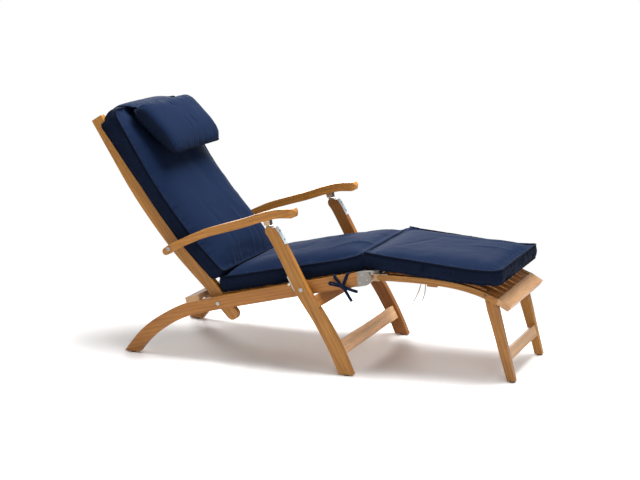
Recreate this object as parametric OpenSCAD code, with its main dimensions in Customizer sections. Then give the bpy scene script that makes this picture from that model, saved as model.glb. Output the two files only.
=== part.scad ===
// Folding deck chair with a hinged footrest, folding legs and boxed cushions.
// X runs from the rear feet to the foot end, Y runs across, Z is up. The left
// side is +Y and the right side is -Y. The whole chair is drawn with X = 0 at
// the rear feet and then moved so that its middle stands on the origin.

/* [Widths across the chair] */
// Inner face of each side rail, from the middle of the chair
rail_inner_y = 256.6; // [254:0.2:258]
// Half the width of the footrest
footrest_half_w = 223.6; // [221:0.2:225]
// Half the width of the seat and back cushions
cushion_half_w = 254; // [235:1:256]
// Half the length of the head pillow
pillow_half_w = 205; // [160:5:215]

/* [Timber] */
// Thickness of the side rails
rail_t = 26; // [22:0.5:27]
// Depth of the side rails
rail_depth = 45; // [40:0.5:46]
// Thickness of the front legs
leg_t = 27; // [22:0.5:27]
// Thickness of the back stiles
stile_t = 25; // [20:0.5:25]
// Depth of the back stiles
stile_depth = 42; // [38:0.5:43]
// Thickness of every slat
slat_t = 12; // [8:0.5:12]
// Width of every slat
slat_w = 36; // [26:1:38]

/* [Fittings] */
// Diameter of the bolts that the frame turns on
bolt_d = 8; // [6:0.5:9]
// Diameter of a bolt head
head_d = 14; // [12:0.5:16]
// Radial clearance of a bolt in a moving hole
play = 0.05; // [0.02:0.01:0.1]

/* [Cushions] */
// Thickness of the seat and leg cushions at the seams
seat_pad_t = 54; // [40:1:56]
// Thickness of the back cushion at the seams
back_pad_t = 52; // [40:1:54]

/* [Hidden] */
$fn = 48;

teak = "#b07a45";
teak_end = "#c9a06c";
steel = "#b9bcc0";
dark_steel = "#4c4a42";
navy = "#26345a";
twine = "#a08a6a";
rubber = "#2c2a28";

// Middle of the chair's length, which becomes X = 0
centre_x = 611.2;

// Layers across the chair, from the outside in
rail_outer_y = rail_inner_y + rail_t;
leg_inner_y = rail_outer_y + 6.5;
leg_outer_y = leg_inner_y + leg_t;
stile_outer_y = rail_inner_y - 4;
stile_inner_y = stile_outer_y - stile_t;
arm_outer_y = leg_outer_y + 9;
arm_inner_y = 276.5;
arm_rear_inner_y = 289;
foot_rail_t = 20;
foot_rail_inner_y = footrest_half_w - foot_rail_t;
foot_leg_outer_y = foot_rail_inner_y - 0.8;
foot_leg_t = 24;
foot_leg_inner_y = foot_leg_outer_y - foot_leg_t;

// Pivots, seen from the side
back_pivot = [338, 203];
leg_pivot = [658, 282.6];
arm_pivot = [173.4, 390.3];
knee_pivot = [897, 350];
foot_pivot = [1269.3, 292.3];
bolt_r = bolt_d / 2;
bore_r = bolt_r + play;
foot_bolt_r = 3.5;
pin_r = 2.5;
knuckle_r = 5;

// Thickness of the glides, which lift the wood off the ground
glide_t = 4;

// Centre lines of the curved timbers, seen from the side
rail_line = smooth([[-6, -9], [56, 66.5], [128, 123.5], [202.5, 164], [276.5, 187.5], [352, 207.3],
                    [612, 269.5], [872, 331.5]], 6);
stile_line = smooth([[-129, 817], [-71, 722], [11.5, 589.6], [86, 486.6], [172, 381.5], [234.5, 316.7],
                     [302.5, 249], [338, 203], [377, 162.5]], 6);
leg_line = smooth([[548, 476], [564.5, 453.8], [601, 388], [637, 319.4], [668, 264], [728, 176.7],
                   [782, 81], [821, -5]], 6);
arm_line = smooth([[163, 381], [183, 394], [217, 412], [293, 447], [367, 471.5], [441, 494],
                   [514.5, 520], [569, 535.5], [605, 539.5], [623, 540.5]], 5);
footrest_line = smooth([[905, 325], [976, 325.5], [1046, 325], [1115, 321.5], [1184, 313.5],
                        [1252, 297], [1311, 273.5]], 5);

// How far along a timber runs parallel to its centre line, for what is fixed on it
slat_rise = rail_depth / 2;
slat_drop = slat_rise - slat_t;
seat_slope = 13.4;
leg_slope = 118.6;
lower_leg_slope = 116.5;

// Points on a curve through the given points, with n steps between each pair
function blend_at(a, b, c, d, t) =
    0.5 * (2 * b + (c - a) * t + (2 * a - 5 * b + 4 * c - d) * t * t
        + (3 * b - a - 3 * c + d) * t * t * t);
function smooth(p, n) = concat(
    [for (i = [0:len(p) - 2], j = [0:n - 1])
        blend_at(p[max(i - 1, 0)], p[i], p[i + 1], p[min(i + 2, len(p) - 1)], j / n)],
    [p[len(p) - 1]]);
function side_of(p, i) =
    let (d = p[min(i + 1, len(p) - 1)] - p[max(i - 1, 0)]) [-d[1], d[0]] / norm(d);
// A curve moved sideways: positive is to the left when walking along it
function shifted(p, off) = [for (i = [0:len(p) - 1]) p[i] + side_of(p, i) * off];
function reversed(p) = [for (i = [len(p) - 1:-1:0]) p[i]];
// The stretch of a curve between two X values
function between(p, x0, x1) = [for (q = p) if (q[0] >= x0 && q[0] <= x1) q];
// Points on an arc about c, from angle a0 to a1
function arc(c, r, a0, a1, n) =
    [for (i = [0:n]) let (a = a0 + (a1 - a0) * i / n) c + r * [cos(a), sin(a)]];
// The half round that closes a curve's end, turning clockwise from its left side to its right
function end_round(p, i, r, turn) =
    let (s = side_of(p, i), a = atan2(s[1], s[0]) + turn) arc(p[i], r, a, a - 180, 12);
// A closed outline between two offsets of a curve
function ribbon(p, low, high) = concat(shifted(p, high), reversed(shifted(p, low)));
// A tapered timber with its far end rounded, and its near end too if both is true
function timber(p, w0, w1, both) = concat(
    [for (i = [0:len(p) - 2]) p[i] + side_of(p, i) * (w0 + (w1 - w0) * i / (len(p) - 1)) / 2],
    end_round(p, len(p) - 1, w1 / 2, 0),
    [for (i = [len(p) - 2:-1:1]) p[i] - side_of(p, i) * (w0 + (w1 - w0) * i / (len(p) - 1)) / 2],
    both ? end_round(p, 0, w0 / 2, 180) : [p[0] - side_of(p, 0) * w0 / 2]);

// Moves a finished piece so that the chair's middle stands on the origin
module placed() {
    translate([-centre_x, 0, 0]) children();
}

// Stands a side view up: its own x stays X, its own y becomes Z, from y0 to y1 across
module across(y0, y1) {
    translate([0, y1, 0]) rotate([90, 0, 0]) linear_extrude(y1 - y0) children();
}

// The right-hand copy of a piece drawn on the left
module on_right() {
    mirror([0, 1, 0]) children();
}

module on_both() {
    children();
    mirror([0, 1, 0]) children();
}

// A round bar across the chair at a point of the side view
module bar_at(p, y0, y1, r) {
    translate([p[0], y0, p[1]]) rotate([-90, 0, 0]) cylinder(h = y1 - y0, r = r);
}

// A flat board in the side view: centred on p, turned, length by thickness
module board_at(p, turn, length, thick) {
    translate(p) rotate(turn) square([length, thick], center = true);
}

// A bolt across the chair with a domed socket head outside and a nut inside
module bolt_at(p, y_in, y_out, r) {
    bar_at(p, y_in - 5, y_out + 0.3, r);
    difference() {
        bar_at(p, y_out + 0.3, y_out + 3.3, head_d / 2);
        bar_at(p, y_out + 1.8, y_out + 4, r * 0.6);
    }
    difference() {
        bar_at(p, y_in - 5, y_in - 0.3, head_d / 2);
        bar_at(p, y_in - 6, y_in, r);
    }
}

// ---- Seat frame ----

module seat_rail() {
    color(teak) placed() difference() {
        across(rail_inner_y, rail_outer_y) difference() {
            polygon(timber(rail_line, rail_depth, rail_depth, false));
            translate([-60, glide_t - 60]) square([160, 60]);
        }
        bar_at(back_pivot, rail_inner_y - 1, rail_outer_y + 1, bore_r);
        bar_at(leg_pivot, rail_inner_y - 1, rail_outer_y + 1, bore_r);
        bar_at(stop_pin_at, rail_outer_y - 12, rail_outer_y + 1, stop_pin_r);
    }
}

module seat_rail_left() {
    seat_rail();
}

module seat_rail_right() {
    on_right() seat_rail();
}

// The bar that ties the rails together and stops the folded back
module rear_crossbar() {
    color(teak_end) placed() across(-rail_outer_y, rail_outer_y) difference() {
        board_at([239.5, 209.5], 16, 50, 22);
        polygon(ribbon(rail_line, -rail_depth / 2, rail_depth / 2));
    }
}

// A seat crossbar lies under the slats and ends at the rails
module seat_crossbar(x, width) {
    color(teak) placed() across(-rail_inner_y, rail_inner_y) difference() {
        translate([x, 269.5 + (x - 612) * tan(seat_slope)]) rotate(seat_slope)
            translate([-width / 2, slat_drop - 18]) square([width, 20]);
        polygon(ribbon(rail_line, slat_drop, slat_rise + 5));
    }
}

module seat_crossbar_rear() {
    seat_crossbar(470, 40);
}

module seat_crossbar_mid() {
    seat_crossbar(600, 40);
}

module seat_crossbar_front() {
    seat_crossbar(846, 38);
}

seat_slat_count = 8;
seat_slat_pitch = 55;

module seat_slats() {
    color(teak) placed() for (i = [0:seat_slat_count - 1]) {
        y = (i - (seat_slat_count - 1) / 2) * seat_slat_pitch;
        across(y - slat_w / 2, y + slat_w / 2)
            polygon(ribbon(between(rail_line, 296, 870), slat_drop, slat_rise));
    }
}

// Stainless cap on the end of each rail, with a strap along the top edge and the hinge barrel
cap_t = 1.5;
cap_start_x = 846;

module knee_caps() {
    color(steel) placed() on_both() {
        difference() {
            across(rail_outer_y, rail_outer_y + cap_t) difference() {
                knee_cap_side();
                translate([cap_start_x - 60, 250]) square([60, 140]);
            }
            knee_screw_holes();
        }
        across(rail_inner_y, rail_outer_y + cap_t) knee_strap();
        difference() {
            bar_at(knee_pivot, footrest_half_w + 6, rail_outer_y, knuckle_r);
            bar_at(knee_pivot, footrest_half_w - 1, rail_outer_y + 1, pin_r + play);
        }
    }
}

module knee_cap_side() {
    polygon(timber(between(rail_line, 780, 900), rail_depth + 2 * cap_t, rail_depth + 2 * cap_t, false));
}

// Strap over the top edge that reaches out to the hinge barrel
module knee_strap() {
    polygon(ribbon(between(rail_line, 806, 900), rail_depth / 2, rail_depth / 2 + cap_t));
    difference() {
        translate([868, 352.6]) rotate(2) square([28, cap_t + 0.6]);
        translate(rail_line[len(rail_line) - 1]) circle(rail_depth / 2);
        translate(knee_pivot) circle(knuckle_r - 0.4);
    }
}

knee_screws = [[856, 316], [862, 343], [882, 327]];

module knee_screw_holes() {
    for (p = knee_screws)
        bar_at(p, rail_outer_y - 1, rail_outer_y + cap_t + 1, 1.8);
}

module knee_cap_screws() {
    color(steel) placed() on_both() for (p = knee_screws) {
        bar_at(p, rail_outer_y, rail_outer_y + cap_t, 1.8);
        bar_at(p, rail_outer_y + cap_t, rail_outer_y + cap_t + 1, 3);
    }
}

// Pin on the outside of each rail that the leg's spacer plate leans on
stop_pin_at = [601.3, 290];
stop_pin_r = 2.5;

module stop_pins() {
    color("#e8e4da") placed() on_both() {
        bar_at(stop_pin_at, rail_outer_y - 12, rail_outer_y, stop_pin_r);
        bar_at(stop_pin_at, rail_outer_y, rail_outer_y + 4.5, 4.2);
    }
}

module glide_at(x, y) {
    color(rubber) placed() translate([x, y, 0]) cylinder(h = glide_t, r = 10);
}

module rear_glides() {
    on_both() glide_at(5, (rail_inner_y + rail_outer_y) / 2);
}

// ---- Back ----

module back_bolts() {
    color(steel) placed() on_both() bolt_at(back_pivot, stile_inner_y, rail_outer_y, bolt_r);
}

module back_washers() {
    color(steel) placed() on_both() difference() {
        bar_at(back_pivot, stile_outer_y + 0.3, rail_inner_y - 0.3, 11);
        bar_at(back_pivot, stile_outer_y, rail_inner_y, bolt_r);
    }
}

module back_stile() {
    color(teak) placed() difference() {
        across(stile_inner_y, stile_outer_y) difference() {
            polygon(timber(stile_line, stile_depth, stile_depth, true));
            translate(stile_line[0]) rotate(-58.5) translate([-5 - stile_depth, -stile_depth])
                square([stile_depth, 2 * stile_depth]);
        }
        bar_at(back_pivot, stile_inner_y - 1, stile_outer_y + 1, bore_r);
        bar_at(arm_pivot, stile_inner_y - 1, stile_outer_y + 1, bore_r);
    }
}

module back_stile_left() {
    back_stile();
}

module back_stile_right() {
    on_right() back_stile();
}

// A rail between the stiles, set behind the slats
module back_rail(p, turn, width) {
    color(teak) placed() across(-stile_inner_y, stile_inner_y) difference() {
        board_at(p, turn, width, 18);
        polygon(ribbon(stile_line, stile_depth / 2 - slat_t, stile_depth));
    }
}

module back_top_rail() {
    back_rail([-112, 788], -58.5, 60);
}

module back_middle_rail() {
    back_rail([46, 540.5], -54.5, 44);
}

module back_bottom_rail() {
    back_rail([214, 338], -45.5, 44);
}

back_slat_count = 8;
back_slat_pitch = 54;

module back_slats() {
    color(teak) placed() for (i = [0:back_slat_count - 1]) {
        y = (i - (back_slat_count - 1) / 2) * back_slat_pitch;
        across(y - slat_w / 2, y + slat_w / 2)
            polygon(ribbon(between(stile_line, -126, 238), stile_depth / 2 - slat_t, stile_depth / 2));
    }
}

// ---- Arms ----

module arm_bolts() {
    color(steel) placed() on_both() bolt_at(arm_pivot, stile_inner_y, arm_outer_y, bolt_r);
}

module arm_spacers() {
    color(steel) placed() on_both() difference() {
        bar_at(arm_pivot, stile_outer_y + 0.3, arm_rear_inner_y - 0.3, 9);
        bar_at(arm_pivot, stile_outer_y, arm_rear_inner_y, bore_r);
    }
}

module arm_side() {
    polygon(timber(arm_line, 26, 31, true));
}

// The arm from above: narrow beside the back, broad and round at the front
arm_inner_line = smooth([[140, 0], [360, 0], [430, 3], [500, 10], [560, 12.5], [606, 12.5]], 5);

module arm_plan() {
    polygon(concat([for (p = arm_inner_line) [p[0], arm_rear_inner_y - p[1]]],
                   arc([616, (arm_inner_y + arm_outer_y) / 2], (arm_outer_y - arm_inner_y) / 2, -90, 90, 14),
                   [[140, arm_outer_y]]));
}

module armrest() {
    color(teak) placed() difference() {
        intersection() {
            across(arm_inner_y - 5, arm_outer_y + 5) arm_side();
            translate([0, 0, 340]) linear_extrude(260) arm_plan();
        }
        bar_at(arm_pivot, arm_inner_y - 6, arm_outer_y + 6, bore_r);
    }
}

module armrest_left() {
    armrest();
}

module armrest_right() {
    on_right() armrest();
}

block_y0 = 291;
block_y1 = 313;

module arm_block_side() {
    polygon([[517, 516], [524.5, 493], [545.5, 494.5], [540, 522]]);
}

module arm_blocks() {
    color(teak_end) placed() on_both() across(block_y0, block_y1) difference() {
        arm_block_side();
        arm_side();
    }
}

module arm_straps() {
    color(dark_steel) placed() on_both() across(block_y0 + 3, block_y1 - 3) difference() {
        polygon([[540, 522], [545.5, 494.5], [548, 495], [543.5, 522]]);
        arm_side();
    }
}

// ---- Front legs ----

leg_top_z = 489;

// A point of the leg: up along it from its pivot, and out to its front
function on_leg(up, front) =
    leg_pivot + up * [cos(leg_slope), sin(leg_slope)] + front * [sin(leg_slope), -cos(leg_slope)];

module leg_side() {
    difference() {
        polygon(timber(leg_line, 39, 46, true));
        translate([500, leg_top_z]) square([100, 40]);
        translate([760, glide_t - 60]) square([120, 60]);
    }
}

module front_leg() {
    color(teak) placed() difference() {
        across(leg_inner_y, leg_outer_y) leg_side();
        bar_at(leg_pivot, leg_inner_y - 1, leg_outer_y + 1, bore_r);
    }
}

module front_leg_left() {
    front_leg();
}

module front_leg_right() {
    on_right() front_leg();
}

// The bar across the fronts of the legs that the rails come down on
stop_bar_t = 16;

module stop_bar() {
    color(teak) placed() across(-leg_outer_y, leg_outer_y) difference() {
        polygon([on_leg(-37, 18), on_leg(-37, 22 + stop_bar_t), on_leg(-78, 22 + stop_bar_t),
                 on_leg(-78, 18)]);
        leg_side();
    }
}

module leg_stretcher() {
    color(teak) placed() across(-leg_inner_y, leg_inner_y)
        board_at([785.4, 82.5], lower_leg_slope, 48, 18);
}

module leg_bolts() {
    color(steel) placed() on_both() bolt_at(leg_pivot, rail_inner_y, leg_outer_y, bolt_r);
}

// Plate on the inside of each leg with a boss that keeps leg and rail apart
plate_t = 2.5;

module leg_spacer_plates() {
    color(steel) placed() on_both() difference() {
        union() {
            across(leg_inner_y - plate_t, leg_inner_y)
                polygon([on_leg(-15, 15), on_leg(-15, -20), on_leg(8, -38), on_leg(60, -38),
                         on_leg(66, -22), on_leg(30, 15)]);
            bar_at(leg_pivot, rail_outer_y + 0.4, leg_inner_y - plate_t, 12);
        }
        bar_at(leg_pivot, rail_outer_y, leg_inner_y + 1, bore_r);
    }
}

module leg_saddles() {
    color(steel) placed() on_both() across(block_y0 - 1, block_y1 + 1)
        translate([530, leg_top_z]) square([20, 2.5]);
}

// Stainless plate on the front of each leg top, with a screw near each end
strike_low = 17;
strike_high = 22.5;
strike_screw_points = [[557.2, 466.6], [573.6, 437.6]];
strike_screw_lean = 61;

module strike_plates() {
    color(steel) placed() on_both() across(leg_inner_y + 3, leg_outer_y - 3) difference() {
        polygon(ribbon(between(leg_line, 548, 582), strike_low, strike_high));
        leg_side();
    }
}

module strike_screws() {
    color(steel) placed() on_both() for (p = strike_screw_points)
        translate([p[0], (leg_inner_y + leg_outer_y) / 2, p[1]]) rotate([0, strike_screw_lean, 0])
            translate([0, 0, strike_high + 0.3]) cylinder(h = 1.5, r = 3.6);
}

module leg_glides() {
    on_both() glide_at(818, (leg_inner_y + leg_outer_y) / 2);
}

// ---- Footrest ----

module footrest_rail() {
    color(teak) placed() difference() {
        across(foot_rail_inner_y, footrest_half_w)
            polygon(timber(reversed(footrest_line), 20, 20, false));
        bar_at(foot_pivot, foot_rail_inner_y - 1, footrest_half_w + 1, foot_bolt_r + play);
    }
}

module footrest_rail_left() {
    footrest_rail();
}

module footrest_rail_right() {
    on_right() footrest_rail();
}

// The bar that carries the hinges, with its end grain showing beside the rails
module footrest_knee_bar() {
    color(teak_end) placed() across(-footrest_half_w, footrest_half_w) difference() {
        translate([878, 312]) square([24, 24]);
        translate(footrest_line[0]) circle(10);
    }
}

module footrest_cross_rail() {
    color(teak) placed() across(-foot_rail_inner_y, foot_rail_inner_y)
        board_at([1081, 308.5], -2, 34, 12);
}

foot_slat_count = 7;
foot_slat_pitch = 53;

module footrest_slats() {
    color(teak) placed() for (i = [0:foot_slat_count - 1]) {
        y = (i - (foot_slat_count - 1) / 2) * foot_slat_pitch;
        across(y - slat_w / 2, y + slat_w / 2) polygon(ribbon(footrest_line, 0, 10));
    }
}

module footrest_end_board() {
    color(teak) placed() across(-footrest_half_w, footrest_half_w) difference() {
        board_at([1330, 264.5], -30, 50, 19);
        polygon(ribbon(footrest_line, -10, 10));
    }
}

// Hinge leaf on the top of each rail and knee bar, bent up to its barrel
module footrest_hinges() {
    color(steel) placed() on_both() {
        across(foot_rail_inner_y + 2, footrest_half_w) difference() {
            union() {
                translate([888, 336]) square([44, 2]);
                translate([894.5, 336]) square([5, 12]);
            }
            translate(knee_pivot) circle(knuckle_r - 0.4);
            polygon(ribbon(footrest_line, -10, 10));
        }
        difference() {
            bar_at(knee_pivot, foot_rail_inner_y + 2, footrest_half_w + 5.5, knuckle_r);
            bar_at(knee_pivot, foot_rail_inner_y, footrest_half_w + 7, pin_r);
        }
    }
}

module hinge_pins() {
    color(steel) placed() on_both() bar_at(knee_pivot, foot_rail_inner_y + 1, rail_outer_y, pin_r);
}

// ---- Foot legs ----

module foot_leg() {
    color(teak) placed() difference() {
        across(foot_leg_inner_y, foot_leg_outer_y) difference() {
            polygon(concat(arc(foot_pivot, 9.5, 205, 25, 12),
                           [[1308, 250], [1372.5, 0], [1345, 0], [1271, 240]]));
            translate([1300, glide_t - 60]) square([120, 60]);
        }
        bar_at(foot_pivot, foot_leg_inner_y - 1, foot_leg_outer_y + 1, foot_bolt_r + play);
    }
}

module foot_leg_left() {
    foot_leg();
}

module foot_leg_right() {
    on_right() foot_leg();
}

module foot_stretcher() {
    color(teak) placed() across(-foot_leg_inner_y, foot_leg_inner_y)
        board_at([1340, 88], -73, 38, 15);
}

module foot_bolts() {
    color(dark_steel) placed() on_both() {
        bar_at(foot_pivot, foot_leg_inner_y, footrest_half_w, foot_bolt_r);
        bar_at(foot_pivot, footrest_half_w, footrest_half_w + 0.8, foot_bolt_r + 0.5);
    }
}

module foot_glides() {
    on_both() glide_at(1358, (foot_leg_inner_y + foot_leg_outer_y) / 2);
}

// ---- Cushions ----

module seat_cushion() {
    color(navy) placed() across(-cushion_half_w, cushion_half_w)
        polygon([[350, 236], [848, 350], [852, 353], [853, 396], [846, 405], [838, 403],
                 [352 - 0.22 * seat_pad_t, 236.5 + seat_pad_t], [336, 284], [340, 248]]);
}

module leg_cushion() {
    color(navy) placed() across(-cushion_half_w + 4, cushion_half_w - 4)
        polygon(concat([[857, 359]], [for (p = leg_pad_line) [p[0], p[1] + seat_pad_t]],
                       [[1326, 384], [1330, 378], [1330, 338], [1326, 334]],
                       reversed(leg_pad_line)));
}

leg_pad_line = [[866, 358.5], [983, 350], [1070, 342], [1156, 335], [1240, 331], [1318, 331.5]];

back_pad_low = 22;

module back_cushion() {
    color(navy) placed() across(-cushion_half_w, cushion_half_w)
        polygon(ribbon(between(stile_line, -124, 268), back_pad_low, back_pad_low + back_pad_t));
}

// The pillow hangs at half a right angle, thick in the middle and thin at its seams
pillow_line = [[-10, 858], [26.5, 823.8], [63, 789.6], [99.5, 755.4], [133, 724]];
pillow_bulge = [14, 41, 49, 42, 19];

module head_pillow() {
    front = [for (i = [0:4]) pillow_line[i] + side_of(pillow_line, i) * pillow_bulge[i]];
    rear = [for (i = [4:-1:0]) pillow_line[i] - side_of(pillow_line, i) * pillow_bulge[i]];
    color(navy) placed() across(-pillow_half_w, pillow_half_w)
        polygon(concat(smooth(front, 4), smooth(rear, 4)));
}

// The flap that holds the pillow: over the top of the cushion and down behind the top rail
flap_half_w = 165;
flap_line = [[-20, 851], [-48, 861], [-84, 866], [-116, 853], [-140, 826], [-144, 800], [-128, 766]];

module pillow_strap() {
    color(navy) placed() across(-flap_half_w, flap_half_w)
        difference() {
            polygon(ribbon(smooth(flap_line, 4), -2, 2));
            pillow_seat();
        }
}

// Room for the pillow's seam where the flap is sewn on
module pillow_seat() {
    translate([-19, 850]) circle(4.5);
}

// ---- Ties and strings: tapes and cords swept along their routes ----

tape_w = 11;
tape_t = 3;
string_d = 2;
cord_sides = 8;

// Routes on the left side. Each tape comes over the rail from the cushion's edge to the knot
tie_front_route = [[814, 257, 343.6], [812.5, 279.5, 345.6], [811, 285.8, 341.8], [810, 286, 337],
                   [804, 286, 321], [799, 287, 306], [802, 288.5, 294], [810, 290, 281], [820, 290.5, 266],
                   [830, 291, 251.5]];
tie_rear_route = [[764, 257, 332], [765, 279.5, 334.4], [767, 285.8, 330.6], [768, 286, 327],
                  [779, 286.6, 315.5], [790, 290.3, 304], [801, 292, 299], [816, 292.5, 294.5],
                  [834, 292.5, 289.5], [851, 292.5, 286]];
string_front_route = [[1061.5, 212, 313], [1061, 212, 292.5], [1057, 212, 272], [1051.5, 212, 255]];
string_rear_route = [[1046.5, 212, 313.4], [1037.5, 212, 284], [1024, 212, 255.5], [1010, 212, 231]];

function sweep_dir(p, i) =
    let (d = p[min(i + 1, len(p) - 1)] - p[max(i - 1, 0)]) d / norm(d);
// A tape lies with its width along the rail as far as its own direction allows
rail_dir = [cos(seat_slope), 0, sin(seat_slope)];
function sweep_u(t) = let (u = rail_dir - (rail_dir * t) * t) u / norm(u);
function ring(p, i, w, h, n) = let (t = sweep_dir(p, i), u = sweep_u(t), v = cross(t, u))
    [for (k = [0:n - 1]) p[i] + w / 2 * cos(360 * k / n) * u + h / 2 * sin(360 * k / n) * v];

module cord(route, w, h, steps) {
    p = smooth(route, steps);
    n = cord_sides;
    rings = len(p);
    points = [for (i = [0:rings - 1]) each ring(p, i, w, h, n)];
    walls = [for (i = [0:rings - 2], k = [0:n - 1], half = [0, 1]) half == 0
        ? [i * n + k, i * n + (k + 1) % n, (i + 1) * n + (k + 1) % n]
        : [i * n + k, (i + 1) * n + (k + 1) % n, (i + 1) * n + k]];
    first = [for (k = [n - 1:-1:0]) k];
    last = [for (k = [0:n - 1]) (rings - 1) * n + k];
    polyhedron(points = points, faces = concat(walls, [first], [last]));
}

module tie_front_left() {
    color(navy) placed() cord(tie_front_route, tape_w, tape_t, 2);
}

module tie_rear_left() {
    color(navy) placed() cord(tie_rear_route, tape_w, tape_t, 2);
}

module tie_front_right() {
    color(navy) placed() on_right() cord(tie_front_route, tape_w, tape_t, 2);
}

module tie_rear_right() {
    color(navy) placed() on_right() cord(tie_rear_route, tape_w, tape_t, 2);
}

// The knot of each pair of tapes, with the loop that hangs back from it
module tie_bows() {
    color(navy) placed() on_both() across(294.4, 298.4) union() {
        translate([798, 299]) circle(7);
        translate([776, 304]) rotate(-13) square([40, 8], center = true);
    }
}

module string_front() {
    color(twine) placed() on_right() cord(string_front_route, string_d, string_d, 2);
}

module string_rear() {
    color(twine) placed() on_right() cord(string_rear_route, string_d, string_d, 2);
}

seat_rail_right();
seat_rail_left();
rear_crossbar();
seat_crossbar_rear();
seat_crossbar_mid();
seat_crossbar_front();
seat_slats();
knee_caps();
knee_cap_screws();
stop_pins();
rear_glides();
back_bolts();
back_washers();
back_stile_right();
back_stile_left();
back_top_rail();
back_middle_rail();
back_bottom_rail();
back_slats();
arm_bolts();
arm_spacers();
armrest_right();
armrest_left();
arm_blocks();
arm_straps();
front_leg_right();
front_leg_left();
stop_bar();
leg_stretcher();
leg_bolts();
leg_spacer_plates();
leg_saddles();
strike_plates();
strike_screws();
leg_glides();
footrest_rail_right();
footrest_rail_left();
footrest_knee_bar();
footrest_cross_rail();
footrest_slats();
footrest_end_board();
footrest_hinges();
hinge_pins();
foot_leg_right();
foot_leg_left();
foot_stretcher();
foot_bolts();
foot_glides();
seat_cushion();
leg_cushion();
back_cushion();
head_pillow();
pillow_strap();
tie_front_right();
tie_rear_right();
tie_front_left();
tie_rear_left();
tie_bows();
string_front();
string_rear();
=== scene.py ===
import math
import random

import bpy
import numpy as np
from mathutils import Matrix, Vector, noise


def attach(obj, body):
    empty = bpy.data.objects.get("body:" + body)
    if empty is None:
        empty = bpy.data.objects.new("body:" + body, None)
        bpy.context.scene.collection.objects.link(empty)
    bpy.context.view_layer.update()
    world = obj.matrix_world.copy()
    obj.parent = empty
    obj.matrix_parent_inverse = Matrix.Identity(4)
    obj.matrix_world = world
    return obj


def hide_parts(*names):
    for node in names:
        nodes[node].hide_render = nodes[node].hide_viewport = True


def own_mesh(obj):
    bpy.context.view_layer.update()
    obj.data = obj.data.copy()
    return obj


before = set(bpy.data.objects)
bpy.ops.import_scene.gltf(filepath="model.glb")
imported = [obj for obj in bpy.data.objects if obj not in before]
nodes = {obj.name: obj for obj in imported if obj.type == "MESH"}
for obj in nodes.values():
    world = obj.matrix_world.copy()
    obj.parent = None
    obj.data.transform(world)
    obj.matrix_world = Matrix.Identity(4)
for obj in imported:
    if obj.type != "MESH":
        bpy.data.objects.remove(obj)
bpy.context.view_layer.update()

CENTRE_X = 0.6112  # the chair is drawn from its rear feet, and the part's frame is at its middle


# ---- Places: routes and outlines are in millimetres from the rear feet ----

def at(x, y, z):
    """A point of the part's frame in metres."""
    return Vector((x / 1000 - CENTRE_X, y / 1000, z / 1000))


def smooth(points, n):
    """A Catmull-Rom line through the points."""
    p = [Vector(v) for v in points]
    p = [p[0]] + p + [p[-1]]
    out = []
    for i in range(1, len(p) - 2):
        a, b, c, d = p[i - 1], p[i], p[i + 1], p[i + 2]
        for k in range(n):
            t = k / n
            out.append(0.5 * (2 * b + (c - a) * t + (2 * a - 5 * b + 4 * c - d) * t ** 2
                              + (3 * b - a - 3 * c + d) * t ** 3))
    return out + [p[-2]]


def length_of(points):
    return sum((b - a).length for a, b in zip(points, points[1:]))


def even(points, n):
    """n + 1 points at even distances along a line."""
    run = [0]
    for a, b in zip(points, points[1:]):
        run.append(run[-1] + (b - a).length)
    out, k = [], 0
    for i in range(n + 1):
        want = run[-1] * i / n
        while k < len(points) - 2 and run[k + 1] < want:
            k += 1
        t = (want - run[k]) / max(run[k + 1] - run[k], 1e-9)
        out.append(points[k].lerp(points[k + 1], min(max(t, 0), 1)))
    return out


def new_object(name, verts, faces, material, body):
    """A smooth piece of one material, riding on a body if one is named."""
    mesh = bpy.data.meshes.new(name)
    mesh.from_pydata([tuple(v) for v in verts], [], faces)
    mesh.update()
    obj = bpy.data.objects.new(name, mesh)
    bpy.context.scene.collection.objects.link(obj)
    mesh.materials.append(material)
    mesh.polygons.foreach_set("use_smooth", [True] * len(mesh.polygons))
    if body:
        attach(obj, body)
    return obj


def tube(line, half_u, half_v, u_of, sides, power=1, closed=False, base=0):
    """Points and faces of a tube along a line, whose section's half sizes lie along u and v.

    u_of gives u for a direction of the line. A power below 1 squares the section's corners. base is
    the number of the first point."""
    verts, faces, n = [], [], len(line)
    for i, p in enumerate(line):
        before = line[i - 1] if closed else line[max(i - 1, 0)]
        after = line[(i + 1) % n] if closed else line[min(i + 1, n - 1)]
        t = (after - before).normalized()
        u = u_of(t)
        v = t.cross(u)
        for k in range(sides):
            angle = 2 * math.pi * k / sides
            c, s = math.cos(angle), math.sin(angle)
            verts.append(p + u * (half_u * math.copysign(abs(c) ** power, c))
                         + v * (half_v * math.copysign(abs(s) ** power, s)))
    for i in range(n if closed else n - 1):
        ring, following = base + i * sides, base + (i + 1) % n * sides
        for k in range(sides):
            beside = (k + 1) % sides
            faces.append((ring + k, ring + beside, following + beside, following + k))
    if not closed:
        faces.append(tuple(reversed(range(base, base + sides))))
        faces.append(tuple(range(base + (n - 1) * sides, base + n * sides)))
    return verts, faces


# ---- Camera, at the photograph's angle ----

AZIMUTH, ELEVATION = math.radians(20.684), math.radians(10.921)
cam = bpy.data.objects.new("camera", bpy.data.cameras.new("camera"))
cam.data.lens = 97.75
cam.data.sensor_width = 36
cam.data.clip_end = 60
cam.location = (2.1158, -5.616, 1.5509)
cam.rotation_mode = "QUATERNION"
to_eye = Vector((math.sin(AZIMUTH) * math.cos(ELEVATION), -math.cos(AZIMUTH) * math.cos(ELEVATION),
                 math.sin(ELEVATION)))
cam.rotation_quaternion = (-to_eye).to_track_quat("-Z", "Y")
bpy.context.scene.collection.objects.link(cam)
bpy.context.scene.camera = cam


# ---- Materials ----

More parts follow.
